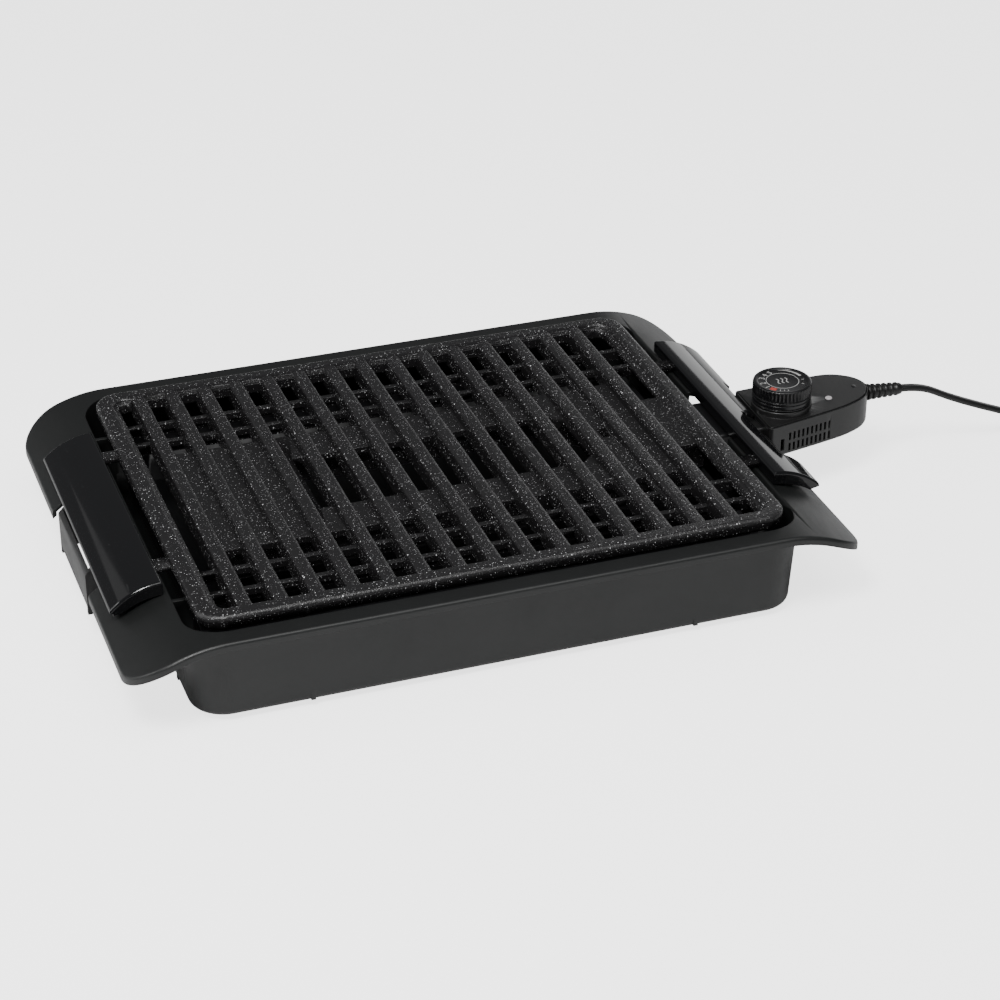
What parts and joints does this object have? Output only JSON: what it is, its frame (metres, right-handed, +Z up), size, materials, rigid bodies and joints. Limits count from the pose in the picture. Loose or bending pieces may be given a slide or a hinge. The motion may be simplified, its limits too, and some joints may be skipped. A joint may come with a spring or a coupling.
{
  "type": "electric griddle",
  "caption": "Table grill with a slotted non-stick plate, two handles, a drip tray in a winged tub, and a plug-in thermostat with a dial and lead.",
  "frame": {"origin": "centre of the base's footprint, on the table under the feet", "axes": "+Z up; +X to the end where the thermostat plugs in; +Y to the back, with the front long side facing -Y"},
  "size_m": [0.8309, 0.358, 0.084],
  "materials": {
    "base_plastic": "fine matte black moulding",
    "foot_rubber": "matte",
    "tray_metal": "satin black enamel on sheet steel",
    "nonstick_cast": "speckled charcoal non-stick coating on cast aluminium",
    "element_sheath": "dull oxidised sheath",
    "steel_sheet": "bright zinc-coated sheet",
    "screw_steel": "zinc-coated",
    "pin_nickel": "nickel-plated",
    "ceramic_white": "unglazed steatite ceramic",
    "aluminium_tube": "satin",
    "handle_gloss": "polished black",
    "handle_matte": "matte black moulding",
    "probe_plastic": "satin black moulding",
    "brass_contact": "bright",
    "rod_steel": "satin stainless",
    "lamp_glass": "clear glass with a faint orange tint",
    "lens_pale": "pale translucent",
    "knob_plastic": "semi-gloss black",
    "dial_plastic": "semi-gloss black with pale printed marks",
    "cord_sheath": "satin black vinyl",
    "tie_plastic": "matte",
    "plug_vinyl": "satin black vinyl"
  },
  "bodies": {
    "base": {"base_shell": "base_plastic", "rubber_feet": "foot_rubber"},
    "tray": {"drip_tray": "tray_metal"},
    "plate": {"grill_plate": "nonstick_cast", "heating_element": "element_sheath", "element_cover": "steel_sheet", "element_cover_screws": "screw_steel", "terminal_pins": "pin_nickel", "terminal_insulators": "ceramic_white", "terminal_guard": "steel_sheet", "sensor_sleeve": "aluminium_tube", "left_handle_cover": "handle_gloss", "right_handle_cover": "handle_gloss", "left_handle_body": "handle_matte", "right_handle_body": "handle_matte", "handle_screws": "screw_steel", "cover_screws": "screw_steel"},
    "thermostat": {"probe_lower_shell": "probe_plastic", "probe_upper_shell": "probe_plastic", "contact_block": "probe_plastic", "female_contacts": "brass_contact", "sensor_rod": "rod_steel", "thermostat_frame": "steel_sheet", "bimetal_blade": "rod_steel", "contact_leaf": "brass_contact", "ceramic_spacers": "ceramic_white", "stack_rivet": "brass_contact", "neon_lamp": "lamp_glass", "indicator_lens": "lens_pale", "probe_screws": "screw_steel", "strain_relief": "cord_sheath", "cord": "cord_sheath", "cord_coil": "cord_sheath", "cord_tail": "cord_sheath", "cord_tie": "tie_plastic", "plug_body": "plug_vinyl", "plug_blades": "brass_contact"},
    "knob": {"knob_cap": "knob_plastic", "knob_dial": "dial_plastic", "knob_spindle": "rod_steel"}
  },
  "joints": [
    {"name": "tray_lift", "type": "slide", "parent": "base", "child": "tray", "axis": [0, 0, 1], "range_m": [0, 0.07]},
    {"name": "plate_lift", "type": "slide", "parent": "tray", "child": "plate", "axis": [0, 0, 1], "range_m": [0, 0.06]},
    {"name": "thermostat_pull", "type": "slide", "parent": "plate", "child": "thermostat", "axis": [1, 0, 0], "range_m": [0, 0.095]},
    {"name": "dial_turn", "type": "hinge", "parent": "thermostat", "child": "knob", "pos_m": [0.2629, 0, 0.076], "axis": [0, 0, 1], "range_deg": [0, 270]}
  ]
}
